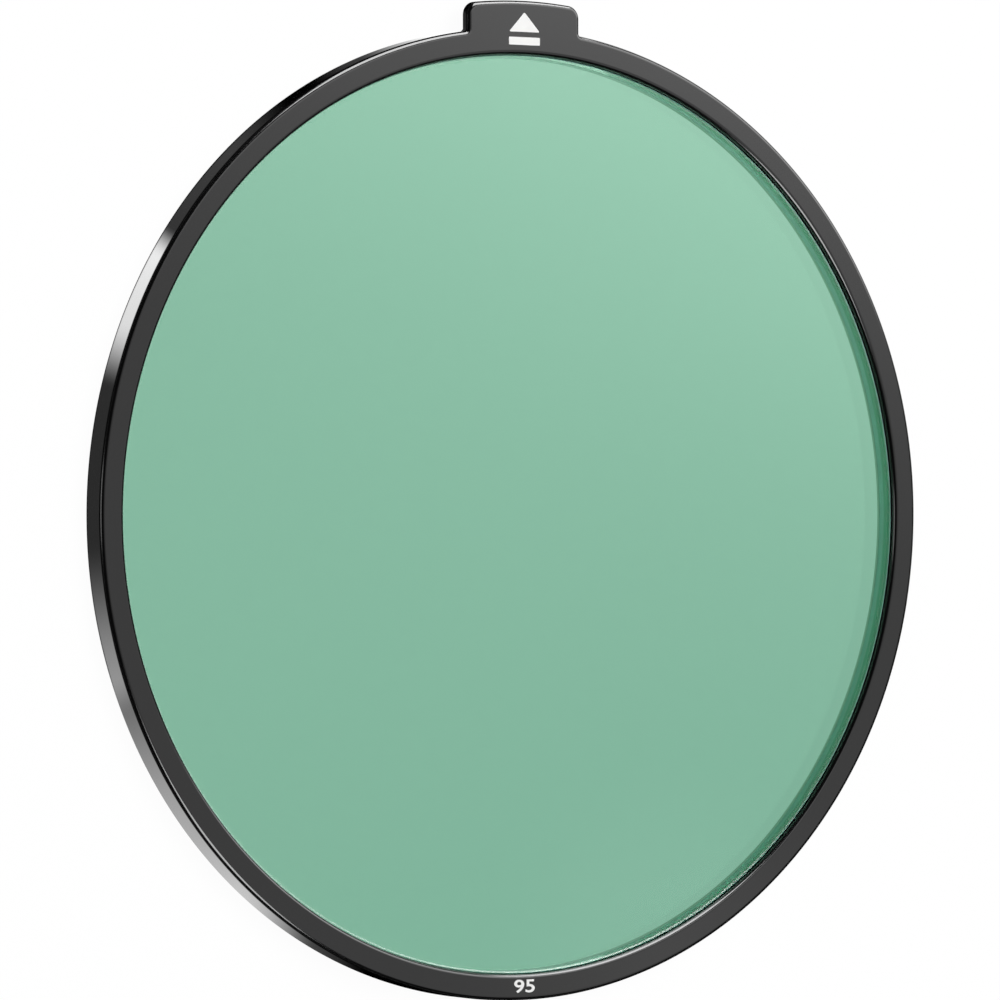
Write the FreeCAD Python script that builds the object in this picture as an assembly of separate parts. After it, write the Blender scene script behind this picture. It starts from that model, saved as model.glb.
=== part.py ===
import FreeCAD, Part
import os
from math import sqrt

# Driving dimensions, in millimetres.
# The filter lies on its rear face at z = 0, its axis is +Z and the pull tab points along +Y.
RIM_DIAMETER = 95.0       # outside of the ring, without the tab
RIM_WIDTH = 2.55          # radial width of the ring, from the bore to the rim
GLASS_THICKNESS = 2.0
FRONT_RECESS = 0.8        # glass below the frame's front face
REAR_RECESS = 0.2         # glass above the frame's rear face
GLASS_BEVEL = 0.15        # leg of the ground bevel on the rear edge of the glass
BOND_GAP = 0.08           # radial thickness of the bond line round the glass
BEAD_WIDTH = 0.5          # width along the glass of the bead that the bond leaves in the front corner
BEAD_HEIGHT = 0.3         # height of that bead up the bore
EDGE_ROUND = 0.45         # rounding of the front edges of the ring and the tab
REAR_CHAMFER = 0.2        # lead-in on the rear edges of the rim, the bore and the tab
TAB_WIDTH = 13.1
TAB_RISE = 2.75           # top of the tab above the rim
TAB_THICKNESS = 1.15      # measured back from the front face
TAB_CORNER_ROUND = 1.3
TAB_ROOT_ROUND = 0.25     # hollow where the tab flows into the rim

# Sizes and places that follow from them.
rim_radius = RIM_DIAMETER / 2
bore_radius = rim_radius - RIM_WIDTH
glass_radius = bore_radius - BOND_GAP
glass_rear = REAR_RECESS
glass_front = glass_rear + GLASS_THICKNESS
frame_front = glass_front + FRONT_RECESS
tab_rear = frame_front - TAB_THICKNESS
tab_top_radius = rim_radius + TAB_RISE
tab_half = TAB_WIDTH / 2

AXIS = FreeCAD.Vector(0, 0, 1)
ORIGIN = FreeCAD.Vector(0, 0, 0)


def section_point(radius, height):
    """Point of a turned section, in the plane y = 0."""
    return FreeCAD.Vector(radius, 0, height)


def turned(edges):
    """Solid of revolution about the filter's axis from the edges of a closed section."""
    return Part.Face(Part.Wire(edges)).revolve(ORIGIN, AXIS, 360)


def axis_distance(vertex):
    """Distance of a vertex from the filter's axis."""
    return sqrt(vertex.X ** 2 + vertex.Y ** 2)


def plain_ring():
    """Turned ring with chamfered rear edges and a rounded front edge on the bore."""
    round_start = section_point(bore_radius + EDGE_ROUND, frame_front)
    round_end = section_point(bore_radius, frame_front - EDGE_ROUND)
    diagonal = EDGE_ROUND * (1 - sqrt(0.5))
    round_middle = section_point(bore_radius + diagonal, frame_front - diagonal)
    straight = Part.makePolygon([
        round_end,
        section_point(bore_radius, REAR_CHAMFER),
        section_point(bore_radius + REAR_CHAMFER, 0),
        section_point(rim_radius - REAR_CHAMFER, 0),
        section_point(rim_radius, REAR_CHAMFER),
        section_point(rim_radius, frame_front),
        round_start,
    ])
    return turned(straight.Edges + [Part.Arc(round_start, round_middle, round_end).toShape()])


def tab_plate():
    """Pull tab with a top edge that runs round the filter's axis, its root hidden inside the ring."""
    corner_x = tab_half - TAB_CORNER_ROUND
    corner_reach = tab_top_radius - TAB_CORNER_ROUND
    corner_y = sqrt(corner_reach ** 2 - corner_x ** 2)
    spread = tab_top_radius / corner_reach
    diagonal = TAB_CORNER_ROUND * sqrt(0.5)
    root_y = sqrt((bore_radius + RIM_WIDTH / 2) ** 2 - tab_half ** 2)

    def at(x, y):
        return FreeCAD.Vector(x, y, tab_rear)

    right_root = at(tab_half, root_y)
    right_side = at(tab_half, corner_y)
    right_bend = at(corner_x + diagonal, corner_y + diagonal)
    right_top = at(corner_x * spread, corner_y * spread)
    left_root = at(-tab_half, root_y)
    left_side = at(-tab_half, corner_y)
    left_bend = at(-corner_x - diagonal, corner_y + diagonal)
    left_top = at(-corner_x * spread, corner_y * spread)
    outline = Part.Wire([
        Part.makeLine(right_root, right_side),
        Part.Arc(right_side, right_bend, right_top).toShape(),
        Part.Arc(right_top, at(0, tab_top_radius), left_top).toShape(),
        Part.Arc(left_top, left_bend, left_side).toShape(),
        Part.makeLine(left_side, left_root),
        Part.makeLine(left_root, right_root),
    ])
    plate = Part.Face(outline).extrude(AXIS * TAB_THICKNESS)
    rear = min(plate.Faces, key=lambda face: face.CenterOfMass.z)
    return plate.makeChamfer(REAR_CHAMFER, rear.Edges)


def filter_frame():
    """One-piece ring and pull tab: hollow round the tab's root, then the front outline rounded."""
    blank = plain_ring().fuse(tab_plate()).removeSplitter()
    root_limit = rim_radius + TAB_RISE / 4
    root = [
        edge for edge in blank.Edges
        if edge.CenterOfMass.y > bore_radius
        and edge.CenterOfMass.z < frame_front - EDGE_ROUND
        and max(axis_distance(vertex) for vertex in edge.Vertexes) < root_limit
    ]
    blended = blank.makeFillet(TAB_ROOT_ROUND, root)
    front = max(blended.Faces, key=lambda face: face.CenterOfMass.z)
    return blended.makeFillet(EDGE_ROUND, front.OuterWire.Edges)


def filter_glass():
    """Flat disc with a ground bevel on its rear edge."""
    section = Part.makePolygon([
        section_point(0, glass_rear),
        section_point(glass_radius - GLASS_BEVEL, glass_rear),
        section_point(glass_radius, glass_rear + GLASS_BEVEL),
        section_point(glass_radius, glass_front),
        section_point(0, glass_front),
        section_point(0, glass_rear),
    ])
    return turned(section.Edges)


def glass_bond():
    """Bond line that fills the gap round the glass, with a sloped bead in the front corner."""
    section = Part.makePolygon([
        section_point(glass_radius, glass_rear + GLASS_BEVEL),
        section_point(bore_radius, glass_rear + GLASS_BEVEL),
        section_point(bore_radius, glass_front + BEAD_HEIGHT),
        section_point(bore_radius - BEAD_WIDTH, glass_front),
        section_point(glass_radius, glass_front),
        section_point(glass_radius, glass_rear + GLASS_BEVEL),
    ])
    return turned(section.Edges)


os.makedirs("parts", exist_ok=True)
pieces = {
    "filter_frame": filter_frame(),
    "filter_glass": filter_glass(),
    "glass_bond": glass_bond(),
}
for name, shape in pieces.items():
    shape.exportStep("parts/" + name + ".step")
    print(name, "solids", len(shape.Solids), "valid", shape.isValid(), "volume", round(shape.Volume, 3))
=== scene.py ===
"""A round drop-in filter: finishes for its frame, glass and bond, its printed marks and a white studio."""

from math import atan2, cos, degrees, hypot, pi, radians, sin, tan

import bmesh
import bpy
from mathutils import Matrix, Vector


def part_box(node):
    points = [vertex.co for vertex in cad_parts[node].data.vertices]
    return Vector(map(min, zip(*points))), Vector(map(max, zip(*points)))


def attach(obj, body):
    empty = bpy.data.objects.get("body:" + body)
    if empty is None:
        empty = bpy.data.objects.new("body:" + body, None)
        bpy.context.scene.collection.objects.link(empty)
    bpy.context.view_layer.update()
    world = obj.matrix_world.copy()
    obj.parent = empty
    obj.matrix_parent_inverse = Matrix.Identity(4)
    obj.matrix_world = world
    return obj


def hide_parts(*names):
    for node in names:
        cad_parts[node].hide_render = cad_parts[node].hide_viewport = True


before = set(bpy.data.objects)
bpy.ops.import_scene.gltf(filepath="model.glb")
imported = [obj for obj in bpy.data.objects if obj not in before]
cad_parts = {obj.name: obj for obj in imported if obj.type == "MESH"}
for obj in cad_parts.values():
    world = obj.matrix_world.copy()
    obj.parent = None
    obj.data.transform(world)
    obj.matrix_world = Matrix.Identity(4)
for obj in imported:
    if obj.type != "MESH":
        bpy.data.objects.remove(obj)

bl_info = {
    "name": "Drop-in filter looks",
    "version": (1, 1, 0),
    "blender": (4, 5, 0),
    "location": "View3D > Sidebar > Filter",
    "description": "Finishes, printed marks and studio of a round drop-in filter with a pull tab",
    "category": "Object",
}

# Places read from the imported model, in metres.
FRAME_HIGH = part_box("filter_frame")[1]
GLASS_LOW, GLASS_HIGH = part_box("filter_glass")
BOND_LOW, BOND_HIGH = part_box("glass_bond")
FRONT_FACE = FRAME_HIGH.z
RIM_RADIUS = FRAME_HIGH.x
TAB_TOP = FRAME_HIGH.y
GLASS_RADIUS = GLASS_HIGH.x
BORE_RADIUS = BOND_HIGH.x
BODY = "root"

WHITE = (1.0, 1.0, 1.0)
RIGHTWARD = Vector((1.0, 0.0, 0.0))
UPWARD = Vector((0.0, 1.0, 0.0))
FORWARD = Vector((0.0, 0.0, 1.0))
MILLIMETRES = 1000

# Light and tint grow from the lower left to the upper right, along this line across the glass: the panel's
# light, and painted light in the glass's tint and in the floor seen through the glass.
RISE_TILT = radians(18.7)
RISE = Vector((sin(RISE_TILT), cos(RISE_TILT), 0.0))


class FrameFinish(bpy.types.PropertyGroup):
    """Satin black anodising of the ring."""

    colour: bpy.props.FloatVectorProperty(
        name="Colour",
        description="Colour of the anodised layer under its gloss",
        subtype="COLOR",
        size=3,
        min=0.0,
        max=1.0,
        default=(0.002, 0.002, 0.0021),
    )
    roughness: bpy.props.FloatProperty(
        name="Roughness",
        description="Blur of the reflections on the blasted metal",
        subtype="FACTOR",
        min=0.0,
        max=1.0,
        default=0.14,
    )
    grain_size: bpy.props.FloatProperty(
        name="Grain size",
        description="Width of one pit left by the blasting",
        unit="LENGTH",
        default=0.00009,
    )
    grain_depth: bpy.props.FloatProperty(
        name="Grain depth",
        description="Height of the blasted grain",
        unit="LENGTH",
        default=0.0000004,
    )
    edge_round: bpy.props.FloatProperty(
        name="Edge round",
        description="Rounding of the front edges of the ring and the tab",
        unit="LENGTH",
        default=0.00045,
    )
    rear_chamfer: bpy.props.FloatProperty(
        name="Rear chamfer",
        description="Chamfer on the rear edges of the rim, the bore and the tab",
        unit="LENGTH",
        default=0.0002,
    )
    tab_width: bpy.props.FloatProperty(
        name="Tab width",
        description="Width of the pull tab",
        unit="LENGTH",
        default=0.0131,
    )
    tab_thickness: bpy.props.FloatProperty(
        name="Tab thickness",
        description="Thickness of the pull tab, back from the front face",
        unit="LENGTH",
        default=0.00115,
    )
    tab_corner: bpy.props.FloatProperty(
        name="Tab corner",
        description="Rounding of the tab's two outer corners",
        unit="LENGTH",
        default=0.0013,
    )
    tab_root: bpy.props.FloatProperty(
        name="Tab root",
        description="Hollow where the tab flows into the rim",
        unit="LENGTH",
        default=0.00025,
    )


class GlassFinish(bpy.types.PropertyGroup):
    """Green-tinted glass disc with coated faces."""

    tint: bpy.props.FloatVectorProperty(
        name="Tint",
        description="Share of light that passes through both faces at the lower edge",
        subtype="COLOR",
        size=3,
        min=0.0,
        max=1.0,
        default=(0.247, 0.557, 0.397),
    )
    # Painted light: the glass's tint is lighter at the upper edge than at the lower edge.
    upper_tint: bpy.props.FloatVectorProperty(
        name="Upper tint",
        description="Share of light that passes through both faces at the upper edge",
        subtype="COLOR",
        size=3,
        min=0.0,
        max=1.0,
        default=(0.283, 0.562, 0.41),
    )
    bend: bpy.props.FloatProperty(
        name="Bend of light",
        description="Refractive index that the view through the disc is drawn with",
        min=1.0,
        max=2.0,
        default=1.02,
    )
    surface_index: bpy.props.FloatProperty(
        name="Surface index",
        description="Refractive index that the reflections on both coated faces are drawn with",
        min=1.0,
        max=2.0,
        default=1.35,
    )
    # Painted shade: the ground bevel is much darker at the right than at the left.
    bevel_tint: bpy.props.FloatVectorProperty(
        name="Bevel tint",
        description="Share of light that passes through the ground bevel at the right",
        subtype="COLOR",
        size=3,
        min=0.0,
        max=1.0,
        default=(0.036, 0.15, 0.075),
    )
    bevel: bpy.props.FloatProperty(
        name="Bevel",
        description="Leg of the ground bevel on the rear edge",
        unit="LENGTH",
        default=0.00015,
    )


class BondFinish(bpy.types.PropertyGroup):
    """Resin between the glass and the bore: a milky line behind the glass and a clear bead in front."""

    # Painted light: the rear colour is paler, standing in for light from the floor behind the glass.
    line_low: bpy.props.FloatVectorProperty(
        name="Line, rear",
        description="Colour of the bond line near the rear of the glass",
        subtype="COLOR",
        size=3,
        min=0.0,
        max=1.0,
        default=(0.78, 0.83, 0.96),
    )
    line_high: bpy.props.FloatVectorProperty(
        name="Line, front",
        description="Colour of the bond line near the front of the glass",
        subtype="COLOR",
        size=3,
        min=0.0,
        max=1.0,
        default=(0.33, 0.635, 0.562),
    )
    # Painted shade: the line's colour is darkened towards the lower right.
    line_dim: bpy.props.FloatVectorProperty(
        name="Line, lower side",
        description="What is left of the line's colour at the lower right",
        subtype="COLOR",
        size=3,
        min=0.0,
        max=1.0,
        default=(0.5, 0.71, 0.65),
    )
    line_change: bpy.props.FloatProperty(
        name="Line change",
        description="Share of the line's height at which its colour changes",
        subtype="FACTOR",
        min=0.0,
        max=1.0,
        default=0.42,
    )
    bead_colour: bpy.props.FloatVectorProperty(
        name="Bead",
        description="Tint of the clear bead",
        subtype="COLOR",
        size=3,
        min=0.0,
        max=1.0,
        default=(0.95, 0.98, 0.96),
    )
    bead_index: bpy.props.FloatProperty(
        name="Bead index",
        description="Refractive index that the view through the bead is drawn with",
        min=1.0,
        max=2.0,
        default=1.02,
    )
    bead_gloss: bpy.props.FloatProperty(
        name="Bead gloss",
        description="Strength of the bead's reflections",
        subtype="FACTOR",
        min=0.0,
        max=1.0,
        default=0.57,
    )
    bore_colour: bpy.props.FloatVectorProperty(
        name="Bore",
        description="Colour of the bore under the bead",
        subtype="COLOR",
        size=3,
        min=0.0,
        max=1.0,
        default=(0.002, 0.002, 0.0021),
    )
    bead_width: bpy.props.FloatProperty(
        name="Bead width",
        description="Width of the bead along the glass",
        unit="LENGTH",
        default=0.0005,
    )
    clearance: bpy.props.FloatProperty(
        name="Clearance",
        description="Gap that keeps the resin's skin off what it touches",
        unit="LENGTH",
        default=0.000005,
    )


class PrintedMarks(bpy.types.PropertyGroup):
    """White print on the front face: a pull sign on the tab and the diameter at the bottom."""

    ink: bpy.props.FloatVectorProperty(
        name="Ink",
        description="Colour of the printed ink",
        subtype="COLOR",
        size=3,
        min=0.0,
        max=1.0,
        default=(0.8, 0.8, 0.79),
    )
    thickness: bpy.props.FloatProperty(
        name="Ink thickness",
        description="Height of the ink above the front face",
        unit="LENGTH",
        default=0.00001,
    )
    sign_width: bpy.props.FloatProperty(
        name="Sign width",
        description="Width of the pull sign",
        unit="LENGTH",
        default=0.0036,
    )
    sign_height: bpy.props.FloatProperty(
        name="Sign height",
        description="Height of the pull sign, from the bar to the tip",
        unit="LENGTH",
        default=0.0032,
    )
    sign_place: bpy.props.FloatProperty(
        name="Sign place",
        description="Middle of the sign, measured down from the top of the tab",
        unit="LENGTH",
        default=0.00275,
    )
    number_height: bpy.props.FloatProperty(
        name="Number height",
        description="Height of the digits",
        unit="LENGTH",
        default=0.0013,
    )
    number_width: bpy.props.FloatProperty(
        name="Number width",
        description="Width of the whole number",
        unit="LENGTH",
        default=0.0024,
    )
    number_place: bpy.props.FloatProperty(
        name="Number place",
        description="Middle of the digits, measured in from the rim",
        unit="LENGTH",
        default=0.0014,
    )


class Studio(bpy.types.PropertyGroup):
    """View, floor and lights."""

    view_tilt: bpy.props.FloatProperty(
        name="View tilt",
        description="Angle between the filter's axis and the line of sight, towards the left",
        subtype="ANGLE",
        default=radians(33.01),
    )
    view_distance: bpy.props.FloatProperty(
        name="View distance",
        description="From the camera to the front face",
        unit="LENGTH",
        default=0.65,
    )
    lens: bpy.props.FloatProperty(
        name="Lens",
        description="Focal length in millimetres on a sensor 36 mm wide",
        default=239.94,
    )
    aim_x: bpy.props.FloatProperty(
        name="Aim across",
        description="Point of the front face in the middle of the picture, to the right of the axis",
        unit="LENGTH",
        default=-0.002849,
    )
    aim_y: bpy.props.FloatProperty(
        name="Aim up",
        description="Point of the front face in the middle of the picture, towards the tab",
        unit="LENGTH",
        default=0.001415,
    )
    floor_colour: bpy.props.FloatVectorProperty(
        name="Floor",
        description="Colour of the floor",
        subtype="COLOR",
        size=3,
        min=0.0,
        max=1.0,
        default=(0.95, 0.95, 0.95),
    )
    floor_glow: bpy.props.FloatProperty(
        name="Floor glow",
        description="Share of the floor's white that no shadow takes away",
        subtype="FACTOR",
        min=0.0,
        max=1.0,
        default=0.965,
    )
    # Painted shadow: seen through the glass, the floor is dimmed to this level behind the glass's lower
    # edge.
    floor_low: bpy.props.FloatProperty(
        name="Floor low",
        description="Brightness of the floor behind the lower edge of the glass",
        subtype="FACTOR",
        min=0.0,
        max=1.0,
        default=0.77,
    )
    fill: bpy.props.FloatProperty(
        name="Room fill",
        description="Even light from all sides on matt surfaces",
        default=0.35,
    )
    through_level: bpy.props.FloatProperty(
        name="Light through glass",
        description="Level of the room as it lights the bond line through the glass",
        default=2.1,
    )
    lamp_level: bpy.props.FloatProperty(
        name="Lamp level",
        description="Brightness of the softbox overhead on matt surfaces",
        default=6.2,
    )
    room: bpy.props.FloatProperty(
        name="Room in reflections",
        description="Level of the dark room that glossy surfaces mirror between the lights",
        default=0.02,
    )
    panel_level: bpy.props.FloatProperty(
        name="Panel level",
        description="Brightness of the panel mirrored in the lower half of the front",
        default=1.0,
    )
    panel_rise: bpy.props.FloatProperty(
        name="Panel rise",
        description="How much brighter the panel is where the tab mirrors it",
        default=1.1,
    )
    key_level: bpy.props.FloatProperty(
        name="Key level",
        description="Brightness of the tall card beyond the tab, mirrored in the rounded edges",
        default=14.0,
    )
    side_level: bpy.props.FloatProperty(
        name="Side level",
        description="Brightness of the card at the right, mirrored in the rounded edges",
        default=5.5,
    )
    near_level: bpy.props.FloatProperty(
        name="Near level",
        description="Brightness of the card on the near side, mirrored in the rounded edges",
        default=11.0,
    )
    strip_level: bpy.props.FloatProperty(
        name="Strip level",
        description="Brightness of the thin upright strip at the left",
        default=3.0,
    )
    top_gleam: bpy.props.FloatProperty(
        name="Top gleam",
        description="Brightness of the card mirrored in the rim beside the tab",
        default=1.3,
    )
    upper_gleam: bpy.props.FloatProperty(
        name="Upper gleam",
        description="Brightness of the card mirrored in the rim at the upper left",
        default=6.3,
    )
    middle_gleam: bpy.props.FloatProperty(
        name="Middle gleam",
        description="Brightness of the card mirrored in the rim at the left",
        default=1.8,
    )
    lower_gleam: bpy.props.FloatProperty(
        name="Lower gleam",
        description="Brightness of the card mirrored in the rim at the lower left",
        default=2.3,
    )


def add_object(name, data):
    """Puts new data into the scene as an object."""
    made = bpy.data.objects.new(name, data)
    bpy.context.scene.collection.objects.link(made)
    return made


def new_material(name):
    """A material with an empty node tree and its output."""
    material = bpy.data.materials.new(name)
    material.use_nodes = True
    material.node_tree.nodes.clear()
    output = material.node_tree.nodes.new("ShaderNodeOutputMaterial")
    return material, material.node_tree, output


def principled_material(name):
    """A material with one Principled shader."""
    material, tree, output = new_material(name)
    shader = tree.nodes.new("ShaderNodeBsdfPrincipled")
    tree.links.new(shader.outputs["BSDF"], output.inputs["Surface"])
    return material, tree, shader


def opaque(colour):
    """A colour property as a socket value."""
    return (*colour, 1.0)


def feed(tree, socket, value):
    """Sets a socket to a number, or links a node output to it."""
    if isinstance(value, (int, float)):
        socket.default_value = value
    else:
        tree.links.new(value, socket)


def calculate(tree, operation, first, second):
    """A sum on two values; each is a number or a node output."""
    node = tree.nodes.new("ShaderNodeMath")
    node.operation = operation
    feed(tree, node.inputs[0], first)
    feed(tree, node.inputs[1], second)
    return node.outputs["Value"]


def remap(tree, value, low, high, start=0.0, end=1.0):
    """A node output between start and end, spread over low to high."""
    node = tree.nodes.new("ShaderNodeMapRange")
    node.inputs["From Min"].default_value = start
    node.inputs["From Max"].default_value = end
    node.inputs["To Min"].default_value = low
    node.inputs["To Max"].default_value = high
    tree.links.new(value, node.inputs["Value"])
    return node.outputs["Result"]


def blend_colours(tree, factor, first, second):
    """A colour that goes from first to second with factor; each is a colour or a node output."""
    node = tree.nodes.new("ShaderNodeMix")
    node.data_type = "RGBA"
    tree.links.new(factor, node.inputs["Factor"])
    for name, colour in (("A", first), ("B", second)):
        if isinstance(colour, tuple):
            node.inputs[name].default_value = opaque(colour)
        else:
            tree.links.new(colour, node.inputs[name])
    return node.outputs["Result"]


def multiply_colours(tree, first, second):
    """The product of two colours; both are node outputs."""
    node = tree.nodes.new("ShaderNodeMix")
    node.data_type = "RGBA"
    node.blend_type = "MULTIPLY"
    node.inputs["Factor"].default_value = 1.0
    tree.links.new(first, node.inputs["A"])
    tree.links.new(second, node.inputs["B"])
    return node.outputs["Result"]


def shade(colour, share):
    """A colour made lighter or darker by a share."""
    return tuple(min(channel * share, 1.0) for channel in colour)


def surface_texture():
    """Node group: fine grain and broad mottle, both from 0 to 1 and fixed to the object."""
    name = "surface_texture"
    if name in bpy.data.node_groups:
        return bpy.data.node_groups[name]
    group = bpy.data.node_groups.new(name, "ShaderNodeTree")
    group.interface.new_socket("Grain Scale", in_out="INPUT", socket_type="NodeSocketFloat")
    group.interface.new_socket("Mottle Scale", in_out="INPUT", socket_type="NodeSocketFloat")
    group.interface.new_socket("Grain", in_out="OUTPUT", socket_type="NodeSocketFloat")
    group.interface.new_socket("Mottle", in_out="OUTPUT", socket_type="NodeSocketFloat")
    inward = group.nodes.new("NodeGroupInput")
    outward = group.nodes.new("NodeGroupOutput")
    place = group.nodes.new("ShaderNodeTexCoord")
    for title, detail in (("Grain", 2.0), ("Mottle", 4.0)):
        noise = group.nodes.new("ShaderNodeTexNoise")
        noise.inputs["Detail"].default_value = detail
        group.links.new(place.outputs["Object"], noise.inputs["Vector"])
        group.links.new(inward.outputs[title + " Scale"], noise.inputs["Scale"])
        group.links.new(noise.outputs["Fac"], outward.inputs[title])
    return group


def add_texture(tree, grain_size, mottle_size):
    """Places the shared texture in a material, with its own grain and mottle sizes."""
    node = tree.nodes.new("ShaderNodeGroup")
    node.node_tree = surface_texture()
    node.inputs["Grain Scale"].default_value = 1.0 / grain_size
    node.inputs["Mottle Scale"].default_value = 1.0 / mottle_size
    return node.outputs["Grain"], node.outputs["Mottle"]


def add_bump(tree, shader, height, depth):
    """Raises the shader's surface by a height texture."""
    bump = tree.nodes.new("ShaderNodeBump")
    bump.inputs["Distance"].default_value = depth
    tree.links.new(height, bump.inputs["Height"])
    tree.links.new(bump.outputs["Normal"], shader.inputs["Normal"])


def share_along(tree, place, direction, low, high):
    """0 to 1 between two marks on a line through the origin; place is a node output."""
    along = tree.nodes.new("ShaderNodeVectorMath")
    along.operation = "DOT_PRODUCT"
    along.inputs[1].default_value = direction
    tree.links.new(place, along.inputs[0])
    return remap(tree, along.outputs["Value"], 0.0, 1.0, low, high)


def rising_share(tree, place):
    """0 at the lower edge of the glass and 1 at the upper edge; its level lines tilt in the upper half. It
    spreads the painted light of the glass's tint and the painted shadow of the floor behind the glass.
    """
    bend_reach = 0.02
    parts = tree.nodes.new("ShaderNodeSeparateXYZ")
    tree.links.new(place, parts.inputs["Vector"])
    tilt = remap(tree, parts.outputs["Y"], 0.0, tan(RISE_TILT), -bend_reach, bend_reach)
    sideways = calculate(tree, "MULTIPLY", parts.outputs["X"], tilt)
    height = calculate(tree, "ADD", parts.outputs["Y"], sideways)
    return remap(tree, height, 0.0, 1.0, -GLASS_RADIUS, GLASS_RADIUS)


def object_place(tree):
    """A point's place on its object."""
    return tree.nodes.new("ShaderNodeTexCoord").outputs["Object"]


def anodised_black(finish):
    """Blasted and black-anodised aluminium: fine grain, with a slow drift of shade and gloss."""
    mottle_size = 0.006
    shade_drift = 0.25
    gloss_drift = 0.015
    material, tree, shader = principled_material("black_anodised_metal")
    grain, mottle = add_texture(tree, finish.grain_size, mottle_size)
    darker = shade(finish.colour, 1.0 - shade_drift)
    lighter = shade(finish.colour, 1.0 + shade_drift)
    colour = blend_colours(tree, mottle, darker, lighter)
    tree.links.new(colour, shader.inputs["Base Color"])
    smooth = finish.roughness - gloss_drift
    rough = finish.roughness + gloss_drift
    tree.links.new(remap(tree, mottle, smooth, rough), shader.inputs["Roughness"])
    add_bump(tree, shader, grain, finish.grain_depth)
    shader.inputs["IOR"].default_value = 1.5
    return material


def tinted_glass(finish):
    """Polished tinted glass with coated faces and the faintest drift of tint and polish; the tint is
    lighter towards the upper edge as painted light.
    """
    grain_size = 0.0004
    mottle_size = 0.03
    tint_drift = 0.01
    polish = 0.003
    material, tree, shader = principled_material("green_tinted_glass")
    grain, mottle = add_texture(tree, grain_size, mottle_size)
    # Painted light: the tint turns lighter towards the upper edge.
    share = rising_share(tree, object_place(tree))
    rising = blend_colours(tree, share, tuple(finish.tint), tuple(finish.upper_tint))
    drift = blend_colours(tree, mottle, shade(WHITE, 1.0 - tint_drift), WHITE)
    tree.links.new(multiply_colours(tree, rising, drift), shader.inputs["Base Color"])
    tree.links.new(remap(tree, grain, 0.0, polish), shader.inputs["Roughness"])
    shader.inputs["Transmission Weight"].default_value = 1.0
    shader.inputs["IOR"].default_value = finish.bend
    shader.inputs["Coat Weight"].default_value = 1.0
    shader.inputs["Coat Roughness"].default_value = 0.0
    shader.inputs["Coat IOR"].default_value = finish.surface_index
    return material


def ground_glass(finish):
    """The glass where its edge is ground: the same tint under a frosted skin, deeper and darker at the
    right as painted shade.
    """
    grain_size = 0.00006
    mottle_size = 0.002
    tint_drift = 0.04
    smoothest, roughest = 0.45, 0.65
    frosting = 0.7
    painted_shade_reach = 0.02
    skin_depth = 0.000002
    material, tree, shader = principled_material("ground_glass_edge")
    grain, mottle = add_texture(tree, grain_size, mottle_size)
    # Painted shade: the bevel turns to its darker tint towards the right.
    side = share_along(tree, object_place(tree), RIGHTWARD, 0.0, painted_shade_reach)
    tone = blend_colours(tree, side, shade(finish.tint, frosting), tuple(finish.bevel_tint))
    drift = blend_colours(tree, mottle, shade(WHITE, 1.0 - tint_drift), WHITE)
    tree.links.new(multiply_colours(tree, tone, drift), shader.inputs["Base Color"])
    tree.links.new(remap(tree, grain, smoothest, roughest), shader.inputs["Roughness"])
    add_bump(tree, shader, grain, skin_depth)
    shader.inputs["Transmission Weight"].default_value = 1.0
    shader.inputs["IOR"].default_value = finish.bend
    return material


def milky_line(finish):
    """Cloudy resin behind the glass, paler towards the rear as painted light and darker towards its lower
    side as painted shade.
    """
    grain_size = 0.0005
    mottle_size = 0.0025
    cloud = 0.05
    smoothest, roughest = 0.7, 0.9
    change_width = 0.00012
    painted_shade_reach = 0.032
    material, tree, shader = principled_material("milky_bond_line")
    grain, mottle = add_texture(tree, grain_size, mottle_size)
    change = BOND_LOW.z + (GLASS_HIGH.z - BOND_LOW.z) * finish.line_change
    place = object_place(tree)
    height = share_along(tree, place, FORWARD, change - change_width, change + change_width)
    # Painted light: the paler colour towards the rear.
    tone = blend_colours(tree, height, tuple(finish.line_low), tuple(finish.line_high))
    # Painted shade: darker towards the lower side.
    side = share_along(tree, place, UPWARD, -painted_shade_reach, painted_shade_reach)
    painted_shade_tone = multiply_colours(tree, tone, blend_colours(tree, side, tuple(finish.line_dim), WHITE))
    clouds = blend_colours(tree, mottle, shade(WHITE, 1.0 - cloud), WHITE)
    tree.links.new(multiply_colours(tree, painted_shade_tone, clouds), shader.inputs["Base Color"])
    tree.links.new(remap(tree, grain, smoothest, roughest), shader.inputs["Roughness"])
    shader.inputs["Specular IOR Level"].default_value = 0.0
    return material


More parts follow.
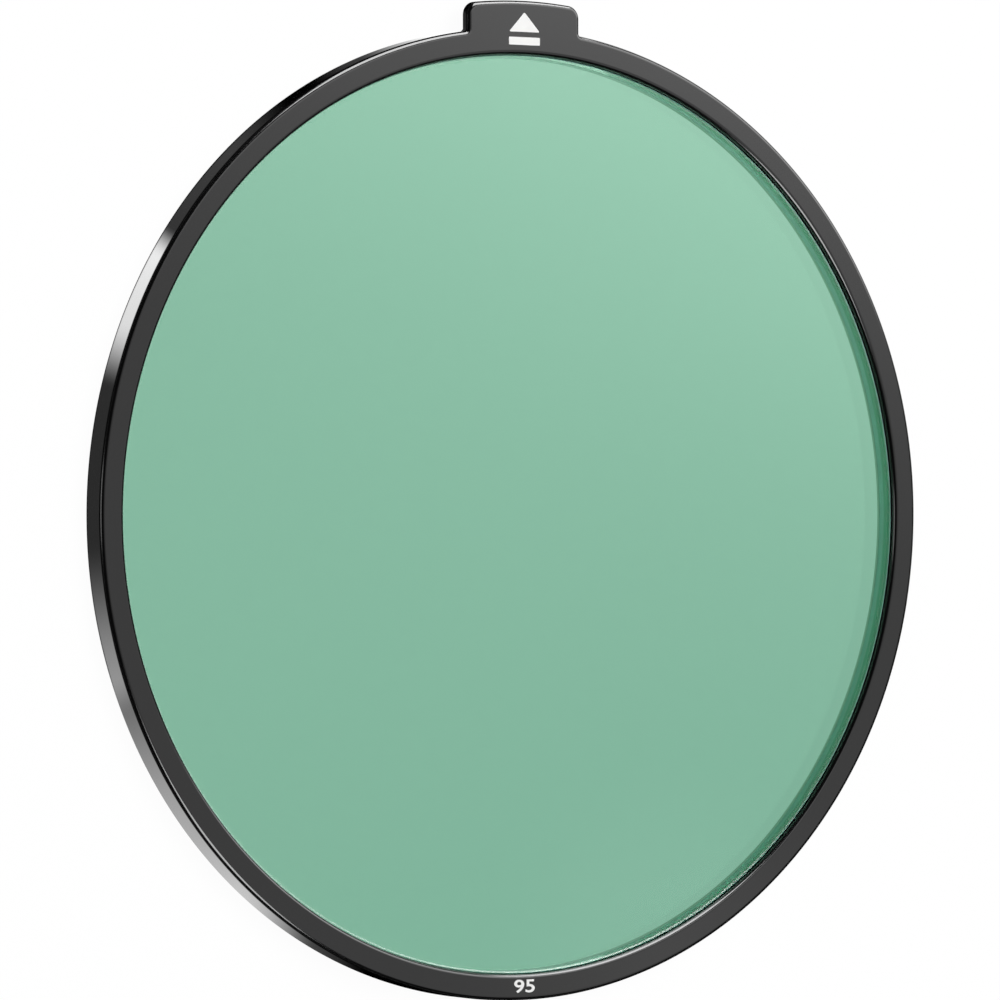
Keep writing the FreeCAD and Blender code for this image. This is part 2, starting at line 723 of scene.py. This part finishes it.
def clear_bead(finish):
    """Clear resin with a slightly uneven skin, dull at its toe and where it creeps up the bore."""
    grain_size = 0.0006
    mottle_size = 0.004
    cloud = 0.03
    roughest = 0.03
    skin_depth = 0.0000003
    skin_gleam = 0.1
    gloss_start, gloss_end = 0.000065, 0.00014
    gloss_fade = 0.00002
    material, tree, shader = principled_material("clear_bond_bead")
    grain, mottle = add_texture(tree, grain_size, mottle_size)
    cloudy = shade(finish.bead_colour, 1.0 - cloud)
    clear = shade(finish.bead_colour, 1.0 + cloud)
    tree.links.new(blend_colours(tree, mottle, cloudy, clear), shader.inputs["Base Color"])
    tree.links.new(remap(tree, grain, 0.0, roughest), shader.inputs["Roughness"])
    add_bump(tree, shader, grain, skin_depth)
    shader.inputs["Transmission Weight"].default_value = 1.0
    shader.inputs["IOR"].default_value = finish.bead_index
    shader.inputs["Specular Tint"].default_value = opaque(shade(WHITE, skin_gleam))
    place = object_place(tree)
    low = GLASS_HIGH.z + gloss_start
    high = GLASS_HIGH.z + gloss_end
    rise = share_along(tree, place, FORWARD, low - gloss_fade, low)
    fall = share_along(tree, place, FORWARD, high + gloss_fade, high)
    inside = tree.nodes.new("ShaderNodeNewGeometry").outputs["Backfacing"]
    gloss = remap(tree, inside, finish.bead_gloss, 0.0)
    glossy = calculate(tree, "MULTIPLY", gloss, calculate(tree, "MULTIPLY", rise, fall))
    tree.links.new(glossy, shader.inputs["Coat Weight"])
    shader.inputs["Coat Roughness"].default_value = 0.5
    shader.inputs["Coat IOR"].default_value = 2.0
    return material


def covered_bore(finish):
    """The black bore under the bead, where the resin takes its gloss away."""
    grain_size = 0.00009
    mottle_size = 0.006
    shade_drift = 0.25
    smoothest, roughest = 0.6, 0.8
    material, tree, shader = principled_material("bore_under_resin")
    grain, mottle = add_texture(tree, grain_size, mottle_size)
    darker = shade(finish.bore_colour, 1.0 - shade_drift)
    lighter = shade(finish.bore_colour, 1.0 + shade_drift)
    tree.links.new(blend_colours(tree, mottle, darker, lighter), shader.inputs["Base Color"])
    tree.links.new(remap(tree, grain, smoothest, roughest), shader.inputs["Roughness"])
    shader.inputs["Specular IOR Level"].default_value = 0.0
    return material


def printed_ink(marks):
    """Screen-printed ink: matt, with a faint weave of thicker and thinner print."""
    grain_size = 0.00008
    mottle_size = 0.0008
    thin_print = 0.94
    smoothest, roughest = 0.45, 0.6
    film_depth = 0.000002
    material, tree, shader = principled_material("white_printed_ink")
    grain, mottle = add_texture(tree, grain_size, mottle_size)
    thin = shade(marks.ink, thin_print)
    tree.links.new(blend_colours(tree, mottle, thin, shade(marks.ink, 1.0)), shader.inputs["Base Color"])
    tree.links.new(remap(tree, grain, smoothest, roughest), shader.inputs["Roughness"])
    add_bump(tree, shader, grain, film_depth)
    return material


def finished_mesh(name, mesh):
    """Turns a bmesh into an object, smooth round its bends and sharp at its corners."""
    corner = radians(25.0)
    bmesh.ops.recalc_face_normals(mesh, faces=mesh.faces)
    for face in mesh.faces:
        face.smooth = True
    for edge in mesh.edges:
        edge.smooth = edge.is_manifold and edge.calc_face_angle() < corner
    data = bpy.data.meshes.new(name)
    mesh.to_mesh(data)
    mesh.free()
    return add_object(name, data)


def swept_piece(name, columns, material_at):
    """Closed sections joined one after another into a ring; points that fall together become one."""
    weld = 0.0000001
    mesh = bmesh.new()
    grid = [[mesh.verts.new(point) for point in column] for column in columns]
    for index, column in enumerate(grid):
        before = grid[index - 1]
        for step in range(len(column)):
            face = mesh.faces.new((before[step - 1], column[step - 1], column[step], before[step]))
            face.material_index = material_at(step)
    bmesh.ops.remove_doubles(mesh, verts=mesh.verts, dist=weld)
    return finished_mesh(name, mesh)


def turned_piece(name, section, material_at):
    """A closed section of (radius, height) points turned round the filter's axis."""
    steps = 720
    columns = []
    for step in range(steps):
        turn = 2 * pi * step / steps
        columns.append([(radius * cos(turn), radius * sin(turn), height) for radius, height in section])
    return swept_piece(name, columns, material_at)


def arc(centre, radius, start, end, steps, side=1.0):
    """Points of an arc without its last one, each with the normal that leaves the metal."""
    points = []
    for step in range(steps):
        turn = start + (end - start) * step / steps
        spoke = Vector((cos(turn), sin(turn)))
        points.append((centre + spoke * radius, spoke * side))
    return points


def frame_outline(form):
    """Rim and tab seen from the front, anticlockwise from the tab's right root, with normals."""
    root_steps, corner_steps = 10, 16
    top_steps, rim_steps = 40, 690
    half = form.tab_width / 2
    axis = Vector((0.0, 0.0))
    root_x = half + form.tab_root
    root_y = ((RIM_RADIUS + form.tab_root) ** 2 - root_x ** 2) ** 0.5
    root_turn = atan2(root_y, root_x)
    corner_x = half - form.tab_corner
    corner_y = ((TAB_TOP - form.tab_corner) ** 2 - corner_x ** 2) ** 0.5
    corner_turn = atan2(corner_y, corner_x)
    outline = arc(Vector((root_x, root_y)), form.tab_root, pi + root_turn, pi, root_steps, -1.0)
    outline.append((Vector((half, root_y)), Vector((1.0, 0.0))))
    outline += arc(Vector((corner_x, corner_y)), form.tab_corner, 0.0, corner_turn, corner_steps)
    outline += arc(axis, TAB_TOP, corner_turn, pi - corner_turn, top_steps)
    outline += arc(Vector((-corner_x, corner_y)), form.tab_corner, pi - corner_turn, pi, corner_steps)
    outline.append((Vector((-half, corner_y)), Vector((-1.0, 0.0))))
    outline += arc(Vector((-root_x, root_y)), form.tab_root, 0.0, -root_turn, root_steps, -1.0)
    outline += arc(axis, RIM_RADIUS, pi - root_turn, 2 * pi + root_turn, rim_steps)
    return outline


def frame_section(form, spot, normal):
    """The frame's closed section at one point of its outline, from the front over the rim to the bore."""
    steps = 10
    guard = 0.00001
    edge = form.edge_round
    chamfer = form.rear_chamfer
    tab_rear = FRONT_FACE - form.tab_thickness
    spoke = (spot - normal * edge).normalized()
    tab_chamfer = min(chamfer, max(spot.length - RIM_RADIUS, 0.0))
    underside = (spot - normal * tab_chamfer).length - RIM_RADIUS
    hollow = min(form.tab_root, max(underside, 0.0))
    quarter = [pi / 2 * step / steps for step in range(steps + 1)]

    def inset(depth, height):
        return (*(spot - normal * depth), height)

    def around(radius, height):
        return (*(spoke * radius), height)

    section = [inset(edge + guard, FRONT_FACE)]
    for turn in quarter:
        section.append(inset(edge * (1 - sin(turn)), FRONT_FACE - edge * (1 - cos(turn))))
    section += [inset(0.0, FRONT_FACE - edge - guard), inset(0.0, tab_rear + tab_chamfer)]
    section += [inset(tab_chamfer, tab_rear)]
    for turn in quarter:
        section.append(around(RIM_RADIUS + hollow * (1 - sin(turn)), tab_rear - hollow * (1 - cos(turn))))
    section += [around(RIM_RADIUS, chamfer), around(RIM_RADIUS - chamfer, 0.0)]
    section += [around(BORE_RADIUS + chamfer, 0.0), around(BORE_RADIUS, chamfer)]
    section += [around(BORE_RADIUS, FRONT_FACE - edge - guard)]
    for turn in quarter:
        section.append(around(BORE_RADIUS + edge * (1 - cos(turn)), FRONT_FACE - edge * (1 - sin(turn))))
    section += [around(BORE_RADIUS + edge + guard, FRONT_FACE)]
    return section


def ring_and_tab(form):
    """The frame, cut finely: a ring with rounded front edges, chamfered rear edges and a pull tab."""
    columns = [frame_section(form, spot, normal) for spot, normal in frame_outline(form)]
    return swept_piece("ring_and_tab", columns, lambda step: 0)


def glass_disc(finish):
    """The glass, turned finely: a flat disc with a bevel on its rear edge."""
    rear, front = GLASS_LOW.z, GLASS_HIGH.z
    section = [
        (0.0, rear),
        (GLASS_RADIUS - finish.bevel, rear),
        (GLASS_RADIUS, rear + finish.bevel),
        (GLASS_RADIUS, front),
        (0.0, front),
    ]
    bevel_step = 2
    return turned_piece("glass_disc", section, lambda step: 1 if step == bevel_step else 0)


def bond_ring(finish):
    """The bond, turned finely: the line round the glass, and the hollow bead in the front corner."""
    steps = 12
    inner = GLASS_RADIUS + finish.clearance
    outer = BORE_RADIUS - 2 * finish.clearance
    rest = GLASS_HIGH.z + finish.clearance
    width = outer - BORE_RADIUS + finish.bead_width
    height = BOND_HIGH.z - rest
    bend = (width ** 2 + height ** 2) / (2 * height)
    sweep = 2 * atan2(height, width)
    toe = outer - width
    section = [(inner, BOND_LOW.z), (outer, BOND_LOW.z), (outer, rest)]
    for step in range(steps + 1):
        turn = sweep * (1 - step / steps)
        section.append((toe + bend * sin(turn), rest + bend * (1 - cos(turn))))
    section.append((inner, rest))
    line_steps = (0, 1, 2)
    bore_step = 3

    def material_at(step):
        if step in line_steps:
            return 0
        return 2 if step == bore_step else 1

    return turned_piece("bond_ring", section, material_at)


def stand_in(piece, node, slot, *materials):
    """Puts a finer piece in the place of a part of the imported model."""
    for material in materials:
        piece.data.materials.append(material)
    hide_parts(node)
    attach(piece, BODY)


def rounded_outline(corners, radius, steps=6):
    """A closed outline, anticlockwise, with each corner turned into an arc."""
    points = []
    for index, corner in enumerate(corners):
        before = (corners[index - 1] - corner).normalized()
        after = (corners[(index + 1) % len(corners)] - corner).normalized()
        half_angle = before.angle(after) / 2
        middle = corner + (before + after).normalized() * (radius / sin(half_angle))
        first = corner + before * (radius / tan(half_angle)) - middle
        last = corner + after * (radius / tan(half_angle)) - middle
        turn = first.angle_signed(last)
        for step in range(steps + 1):
            spoke = first.copy()
            spoke.rotate(Matrix.Rotation(-turn * step / steps, 2))
            points.append(middle + spoke)
    return points


def add_plate(mesh, outline, low, high):
    """Adds a closed flat plate between two heights."""
    lower = [mesh.verts.new((p.x, p.y, low)) for p in outline]
    upper = [mesh.verts.new((p.x, p.y, high)) for p in outline]
    mesh.faces.new(upper)
    mesh.faces.new(list(reversed(lower)))
    for index in range(len(outline)):
        following = (index + 1) % len(outline)
        mesh.faces.new((lower[index], lower[following], upper[following], upper[index]))


def pull_sign(marks):
    """A triangle that points out of the tab, over a bar."""
    bar_share = 0.24
    gap_share = 0.16
    corner = 0.00008
    half = marks.sign_width / 2
    middle = TAB_TOP - marks.sign_place
    low = middle - marks.sign_height / 2
    bar_top = low + marks.sign_height * bar_share
    base = bar_top + marks.sign_height * gap_share
    tip = low + marks.sign_height
    bar = [Vector((-half, low)), Vector((half, low)), Vector((half, bar_top)), Vector((-half, bar_top))]
    triangle = [Vector((-half, base)), Vector((half, base)), Vector((0.0, tip))]
    under = FRONT_FACE - marks.thickness
    over = FRONT_FACE + marks.thickness
    mesh = bmesh.new()
    for outline in (bar, triangle):
        add_plate(mesh, rounded_outline(outline, corner), under, over)
    return finished_mesh("pull_sign", mesh)


def diameter_number(marks):
    """The ring's diameter in millimetres, in plain bold digits at the bottom of the front face."""
    stroke_gain = 0.00002
    weld = marks.thickness / 10
    writing = bpy.data.curves.new("diameter_number", "FONT")
    writing.body = str(round(2 * RIM_RADIUS * MILLIMETRES))
    writing.align_x = "CENTER"
    writing.align_y = "CENTER"
    writing.size = marks.number_height
    writing.offset = stroke_gain
    writing.extrude = marks.thickness
    writing.resolution_u = 6
    holder = add_object("writing", writing)
    shapes = bpy.context.evaluated_depsgraph_get()
    drawn = bpy.data.meshes.new_from_object(holder.evaluated_get(shapes))
    bpy.data.objects.remove(holder)
    mesh = bmesh.new()
    mesh.from_mesh(drawn)
    bpy.data.meshes.remove(drawn)
    bmesh.ops.remove_doubles(mesh, verts=mesh.verts, dist=weld)
    across = [point.co.x for point in mesh.verts]
    upright = [point.co.y for point in mesh.verts]
    widen = marks.number_width / (max(across) - min(across))
    raise_by = marks.number_height / (max(upright) - min(upright))
    centre = Vector((max(across) + min(across), max(upright) + min(upright), 0.0)) / 2
    place = Vector((0.0, marks.number_place - RIM_RADIUS, FRONT_FACE))
    fit = Matrix.Translation(place) @ Matrix.Diagonal((widen, raise_by, 1, 1)) @ Matrix.Translation(-centre)
    bmesh.ops.transform(mesh, matrix=fit, verts=mesh.verts)
    return finished_mesh("diameter_number", mesh)


def facing(direction):
    """A turn that points an object's -Z along a direction, with its Y upwards."""
    return direction.to_track_quat("-Z", "Y")


def sky_direction(azimuth, elevation):
    """A unit vector, with azimuth from +X towards +Y."""
    level = cos(elevation)
    return Vector((cos(azimuth) * level, sin(azimuth) * level, sin(elevation)))


def hang(light, azimuth, elevation, distance):
    """Hangs a lamp or a card in the sky, turned to the filter; the angles are in degrees."""
    direction = sky_direction(radians(azimuth), radians(elevation))
    light.location = FORWARD * FRONT_FACE + direction * distance
    light.rotation_mode = "QUATERNION"
    light.rotation_quaternion = facing(-direction)


def add_softbox(name, azimuth, elevation, distance, size, level):
    """A lamp for matt surfaces, with an even square face of a given brightness."""
    lamp = bpy.data.lights.new(name, "AREA")
    lamp.shape = "SQUARE"
    lamp.size = size
    lamp.energy = level * pi * size ** 2
    softbox = add_object(name, lamp)
    hang(softbox, azimuth, elevation, distance)
    softbox.visible_camera = False
    softbox.visible_glossy = False
    softbox.visible_transmission = False


def glow_material(name):
    """A card's light, as bright as the card's own glow values."""
    material, tree, output = new_material(name)
    level = tree.nodes.new("ShaderNodeAttribute")
    level.attribute_name = "glow"
    light = tree.nodes.new("ShaderNodeEmission")
    tree.links.new(level.outputs["Fac"], light.inputs["Strength"])
    tree.links.new(light.outputs["Emission"], output.inputs["Surface"])
    return material


def glow_card(name, mesh, glow_at):
    """A card that shows in reflections only, with the brightness glow_at(point) at each point."""
    data = bpy.data.meshes.new(name)
    mesh.to_mesh(data)
    mesh.free()
    glow = data.attributes.new("glow", "FLOAT", "POINT")
    for point, value in zip(data.vertices, glow.data):
        value.value = glow_at(point.co)
    data.materials.append(glow_material(name))
    card = add_object(name, data)
    card.visible_camera = False
    card.visible_diffuse = False
    card.visible_transmission = False
    card.visible_shadow = False
    return card


def smooth_step(value, start, end):
    """0 before start, 1 after end, and an even curve between."""
    share = min(max((value - start) / (end - start), 0.0), 1.0)
    return share * share * (3 - 2 * share)


def plateau(value, start, end, fade_in, fade_out):
    """1 from start to end, with soft ends on both sides."""
    rise = smooth_step(value, start - fade_in, start)
    fall = smooth_step(value, end, end + fade_out)
    return rise * (1.0 - fall)


def add_sky_card(name, azimuth, elevation, distance, half_width, half_height, fade, level):
    """A soft-edged rectangle of light in the sky."""
    cells = 24
    mesh = bmesh.new()
    bmesh.ops.create_grid(mesh, x_segments=cells, y_segments=cells, size=1.0)
    bmesh.ops.scale(mesh, vec=(half_width, half_height, 1.0), verts=mesh.verts)

    def glow_at(point):
        across = plateau(point.x, fade - half_width, half_width - fade, fade, fade)
        upright = plateau(point.y, fade - half_height, half_height - fade, fade, fade)
        return level * across * upright

    hang(glow_card(name, mesh, glow_at), azimuth, elevation, distance)


def add_panel(studio, mirrored):
    """A broad card that the front face and the glass mirror, brighter towards the tab."""
    distance = 0.4
    left, right = -0.65, 0.13
    low, high = -0.33, 0.2
    cell = 0.01
    rise_reach = 0.0725
    most_rise = 2.5
    overhead_start, overhead_end = -0.1, -0.6
    low_fade = 0.05
    spot = Vector((0.025, -0.069))
    spot_inner, spot_outer = 0.008, 0.03
    spot_level = 0.65

    def glow_at(point):
        height = point.dot(RISE)
        rise = studio.panel_rise * (max(height, 0.0) / rise_reach) ** 2
        lift = spot_level * (1.0 - smooth_step((point.xy - spot).length, spot_inner, spot_outer))
        level = studio.panel_level + lift + min(rise, most_rise)
        overhead = min(max((point.x - overhead_end) / (overhead_start - overhead_end), 0.0), 1.0)
        return level * overhead * smooth_step(point.y, low, low + low_fade)

    mesh = bmesh.new()
    columns = round((right - left) / cell)
    rows = round((high - low) / cell)
    bmesh.ops.create_grid(mesh, x_segments=columns, y_segments=rows, size=0.5)
    bmesh.ops.scale(mesh, vec=(right - left, high - low, 1.0), verts=mesh.verts)
    bmesh.ops.translate(mesh, vec=((left + right) / 2, (low + high) / 2, 0.0), verts=mesh.verts)
    panel = glow_card("face_panel", mesh, glow_at)
    panel.active_material.cycles.emission_sampling = "NONE"
    across = UPWARD.cross(mirrored)
    turn = Matrix((across, UPWARD, mirrored)).transposed()
    middle = FORWARD * FRONT_FACE + mirrored * distance
    panel.matrix_world = Matrix.Translation(middle) @ turn.to_4x4()


def add_rim_card(studio):
    """A dark card on the floor round the rim, with bright stretches close by that the rim mirrors."""
    tuck = 0.0001
    lift = 0.00005
    dark_edge = 0.00012
    gleam_start = 0.0002
    top_end = 0.0005
    top_fade = 0.00075
    gleam_end = 0.0022
    dark_start = 0.0032
    width = 0.06
    first, last = 80, 350
    # Each stretch of the rim has a start, an end, and the lengths of its two soft ends, in degrees.
    shadow_stretch = 130.0, 196.0, 8.0, 8.0
    top_stretch = 90.0, 100.0, 1.0, 11.5
    tail_stretch = 90.0, 112.0, 1.0, 7.0
    tab_stretch = 92.0, 101.0, 2.0, 4.0
    spill_stretch = 134.0, 236.0, 12.0, 14.0
    upper_stretch = 148.5, 157.0, 4.0, 8.0
    middle_stretch = 197.0, 199.0, 14.0, 5.0
    lower_stretch = 218.0, 229.0, 30.0, 13.0
    tail_share = 0.07
    tab_level = 0.25
    spill_level = 0.25

    def glow_at(point):
        azimuth = degrees(atan2(point.y, point.x)) % 360
        outward = hypot(point.x, point.y) - RIM_RADIUS
        shadow = plateau(azimuth, *shadow_stretch) * (1.0 - smooth_step(outward, dark_edge, gleam_start))
        near = (1.0 - shadow) * (1.0 - smooth_step(outward, gleam_end, dark_start))
        beside_tab = plateau(azimuth, *top_stretch) + tail_share * plateau(azimuth, *tail_stretch)
        top = beside_tab * (1.0 - smooth_step(outward, top_end, top_fade))
        level = tab_level * plateau(azimuth, *tab_stretch)
        level += spill_level * plateau(azimuth, *spill_stretch)
        level += studio.upper_gleam * plateau(azimuth, *upper_stretch)
        level += studio.middle_gleam * plateau(azimuth, *middle_stretch)
        level += studio.lower_gleam * plateau(azimuth, *lower_stretch)
        return studio.top_gleam * top + near * level

    mesh = bmesh.new()
    rows = []
    for outward in (-tuck, dark_edge, gleam_start, top_end, top_fade, gleam_end, dark_start, width):
        row = []
        for half_step in range(2 * first, 2 * last + 1):
            spot = sky_direction(radians(half_step / 2), 0.0) * (RIM_RADIUS + outward)
            row.append(mesh.verts.new((spot.x, spot.y, lift)))
        rows.append(row)
    for inner, outer in zip(rows, rows[1:]):
        for index in range(len(inner) - 1):
            mesh.faces.new((inner[index], outer[index], outer[index + 1], inner[index + 1]))
    card = glow_card("rim_card", mesh, glow_at)
    card.active_material.cycles.emission_sampling = "NONE"


def white_floor(studio):
    """Floor that is white to the eye and in reflections, keeps a soft shadow, and dims behind the glass
    with a painted shadow that only the view through the glass shows.
    """
    gradient_bend = 1.9
    material, tree, output = new_material("white_floor")
    path = tree.nodes.new("ShaderNodeLightPath")
    matt = tree.nodes.new("ShaderNodeBsdfDiffuse")
    matt.inputs["Color"].default_value = opaque(studio.floor_colour)
    place = tree.nodes.new("ShaderNodeNewGeometry")
    # Painted shadow: seen through the glass, the floor darkens towards the lower edge of the glass.
    share = rising_share(tree, place.outputs["Position"])
    behind = remap(tree, calculate(tree, "POWER", share, gradient_bend), studio.floor_low, 1.0)
    through = path.outputs["Is Transmission Ray"]
    painted_dimming = calculate(tree, "MULTIPLY", through, calculate(tree, "SUBTRACT", 1.0, behind))
    white = tree.nodes.new("ShaderNodeEmission")
    white.inputs["Color"].default_value = opaque(WHITE)
    tree.links.new(calculate(tree, "SUBTRACT", 1.0, painted_dimming), white.inputs["Strength"])
    in_view = calculate(tree, "MULTIPLY", path.outputs["Is Camera Ray"], studio.floor_glow)
    elsewhere = calculate(tree, "MAXIMUM", path.outputs["Is Glossy Ray"], through)
    mixed = tree.nodes.new("ShaderNodeMixShader")
    tree.links.new(calculate(tree, "MAXIMUM", in_view, elsewhere), mixed.inputs["Fac"])
    tree.links.new(matt.outputs["BSDF"], mixed.inputs[1])
    tree.links.new(white.outputs["Emission"], mixed.inputs[2])
    tree.links.new(mixed.outputs["Shader"], output.inputs["Surface"])
    return material


def add_floor(studio):
    """A wide flat floor under the filter."""
    half_size = 20.0
    mesh = bmesh.new()
    bmesh.ops.create_grid(mesh, x_segments=1, y_segments=1, size=half_size)
    data = bpy.data.meshes.new("floor")
    mesh.to_mesh(data)
    mesh.free()
    data.materials.append(white_floor(studio))
    floor = add_object("floor", data)


def add_room(studio):
    """The room: white behind the filter, an even fill on matt surfaces, dark in reflections."""
    world = bpy.data.worlds.new("room")
    bpy.context.scene.world = world
    world.use_nodes = True
    world.cycles.sampling_method = "NONE"
    tree = world.node_tree
    tree.nodes.clear()
    output = tree.nodes.new("ShaderNodeOutputWorld")
    light = tree.nodes.new("ShaderNodeBackground")
    light.inputs["Color"].default_value = opaque(WHITE)
    path = tree.nodes.new("ShaderNodeLightPath")
    around = remap(tree, path.outputs["Is Glossy Ray"], studio.fill, studio.room)
    through = calculate(tree, "MULTIPLY", path.outputs["Is Transmission Ray"], studio.through_level)
    in_view = calculate(tree, "MAXIMUM", path.outputs["Is Camera Ray"], through)
    tree.links.new(calculate(tree, "MAXIMUM", around, in_view), light.inputs["Strength"])
    tree.links.new(light.outputs["Background"], output.inputs["Surface"])


def add_camera(studio):
    """A long lens above the filter, tilted to the left of its axis; returns the way back to the lens."""
    aim = Vector((studio.aim_x, studio.aim_y, FRONT_FACE))
    back = Vector((-sin(studio.view_tilt), 0.0, cos(studio.view_tilt)))
    data = bpy.data.cameras.new("view")
    data.lens = studio.lens
    data.sensor_width = 36.0
    data.clip_start = 0.01
    camera = add_object("view", data)
    turn = Matrix((UPWARD.cross(back), UPWARD, back)).transposed()
    camera.matrix_world = Matrix.Translation(aim + back * studio.view_distance) @ turn.to_4x4()
    bpy.context.scene.camera = camera
    return back


class FILTER_OT_cut_frame(bpy.types.Operator):
    """Cut the ring and its tab finely, with their satin black anodising"""

    bl_idname = "dropin_filter.cut_frame"
    bl_label = "Cut Frame"

    def execute(self, context):
        finish = context.scene.filter_frame_finish
        stand_in(ring_and_tab(finish), "filter_frame", "frame_black", anodised_black(finish))
        return {"FINISHED"}


class FILTER_OT_turn_glass(bpy.types.Operator):
    """Turn the disc finely, with its green tint and polish"""

    bl_idname = "dropin_filter.turn_glass"
    bl_label = "Turn Glass"

    def execute(self, context):
        finish = context.scene.filter_glass_finish
        materials = tinted_glass(finish), ground_glass(finish)
        stand_in(glass_disc(finish), "filter_glass", "tinted_glass", *materials)
        return {"FINISHED"}


class FILTER_OT_turn_bond(bpy.types.Operator):
    """Turn the bond finely, with its milky line and its clear bead"""

    bl_idname = "dropin_filter.turn_bond"
    bl_label = "Turn Bond"

    def execute(self, context):
        finish = context.scene.filter_bond_finish
        materials = milky_line(finish), clear_bead(finish), covered_bore(finish)
        stand_in(bond_ring(finish), "glass_bond", "clear_bond", *materials)
        return {"FINISHED"}


class FILTER_OT_print_marks(bpy.types.Operator):
    """Print the pull sign and the diameter on the front face"""

    bl_idname = "dropin_filter.print_marks"
    bl_label = "Print Marks"

    def execute(self, context):
        marks = context.scene.filter_marks
        ink = printed_ink(marks)
        for piece in (pull_sign(marks), diameter_number(marks)):
            piece.data.materials.append(ink)
            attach(piece, BODY)
        return {"FINISHED"}


class FILTER_OT_set_stage(bpy.types.Operator):
    """Set the floor, the room, the lights and the camera"""

    bl_idname = "dropin_filter.set_stage"
    bl_label = "Set Stage"

    def execute(self, context):
        studio = context.scene.filter_studio
        context.scene.view_settings.view_transform = "Standard"
        back = add_camera(studio)
        mirrored = Vector((-back.x, -back.y, back.z))
        add_floor(studio)
        add_room(studio)
        add_panel(studio, mirrored)
        add_rim_card(studio)
        add_sky_card(
            "key_card", azimuth=70.0, elevation=24.0, distance=0.6,
            half_width=0.235, half_height=0.23, fade=0.02, level=studio.key_level,
        )
        add_sky_card(
            "side_card", azimuth=30.0, elevation=29.0, distance=0.6,
            half_width=0.205, half_height=0.22, fade=0.08, level=studio.side_level,
        )
        add_sky_card(
            "near_card", azimuth=255.0, elevation=48.0, distance=0.35,
            half_width=0.085, half_height=0.11, fade=0.02, level=studio.near_level,
        )
        add_sky_card(
            "strip_card", azimuth=178.0, elevation=10.0, distance=0.6,
            half_width=0.075, half_height=0.106, fade=0.01, level=studio.strip_level,
        )
        add_softbox(
            "matt_softbox", azimuth=60.0, elevation=65.0, distance=0.9,
            size=0.6, level=studio.lamp_level,
        )
        return {"FINISHED"}


class FILTER_PT_looks(bpy.types.Panel):
    """Sidebar panel with the filter's finishes and studio"""

    bl_label = "Drop-in Filter"
    bl_idname = "FILTER_PT_looks"
    bl_space_type = "VIEW_3D"
    bl_region_type = "UI"
    bl_category = "Filter"

    def draw(self, context):
        for settings, operator in STEPS.items():
            box = self.layout.box()
            box.operator(operator.bl_idname)
            group = getattr(context.scene, settings)
            for name in group.__annotations__:
                box.prop(group, name)


# The order of the work: the settings of each step and its operator.
STEPS = {
    "filter_frame_finish": FILTER_OT_cut_frame,
    "filter_glass_finish": FILTER_OT_turn_glass,
    "filter_bond_finish": FILTER_OT_turn_bond,
    "filter_marks": FILTER_OT_print_marks,
    "filter_studio": FILTER_OT_set_stage,
}

SETTINGS = {
    "filter_frame_finish": FrameFinish,
    "filter_glass_finish": GlassFinish,
    "filter_bond_finish": BondFinish,
    "filter_marks": PrintedMarks,
    "filter_studio": Studio,
}

CLASSES = (*SETTINGS.values(), *STEPS.values(), FILTER_PT_looks)


def register():
    """Adds the settings, the operators and the panel to Blender."""
    for each in CLASSES:
        bpy.utils.register_class(each)
    for name, group in SETTINGS.items():
        setattr(bpy.types.Scene, name, bpy.props.PointerProperty(type=group))


def unregister():
    """Takes them out of Blender again."""
    for name in SETTINGS:
        delattr(bpy.types.Scene, name)
    for each in reversed(CLASSES):
        bpy.utils.unregister_class(each)


def main():
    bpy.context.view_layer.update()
    register()
    bpy.ops.dropin_filter.cut_frame()
    bpy.ops.dropin_filter.turn_glass()
    bpy.ops.dropin_filter.turn_bond()
    bpy.ops.dropin_filter.print_marks()
    bpy.ops.dropin_filter.set_stage()


if __name__ == "__main__":
    main()
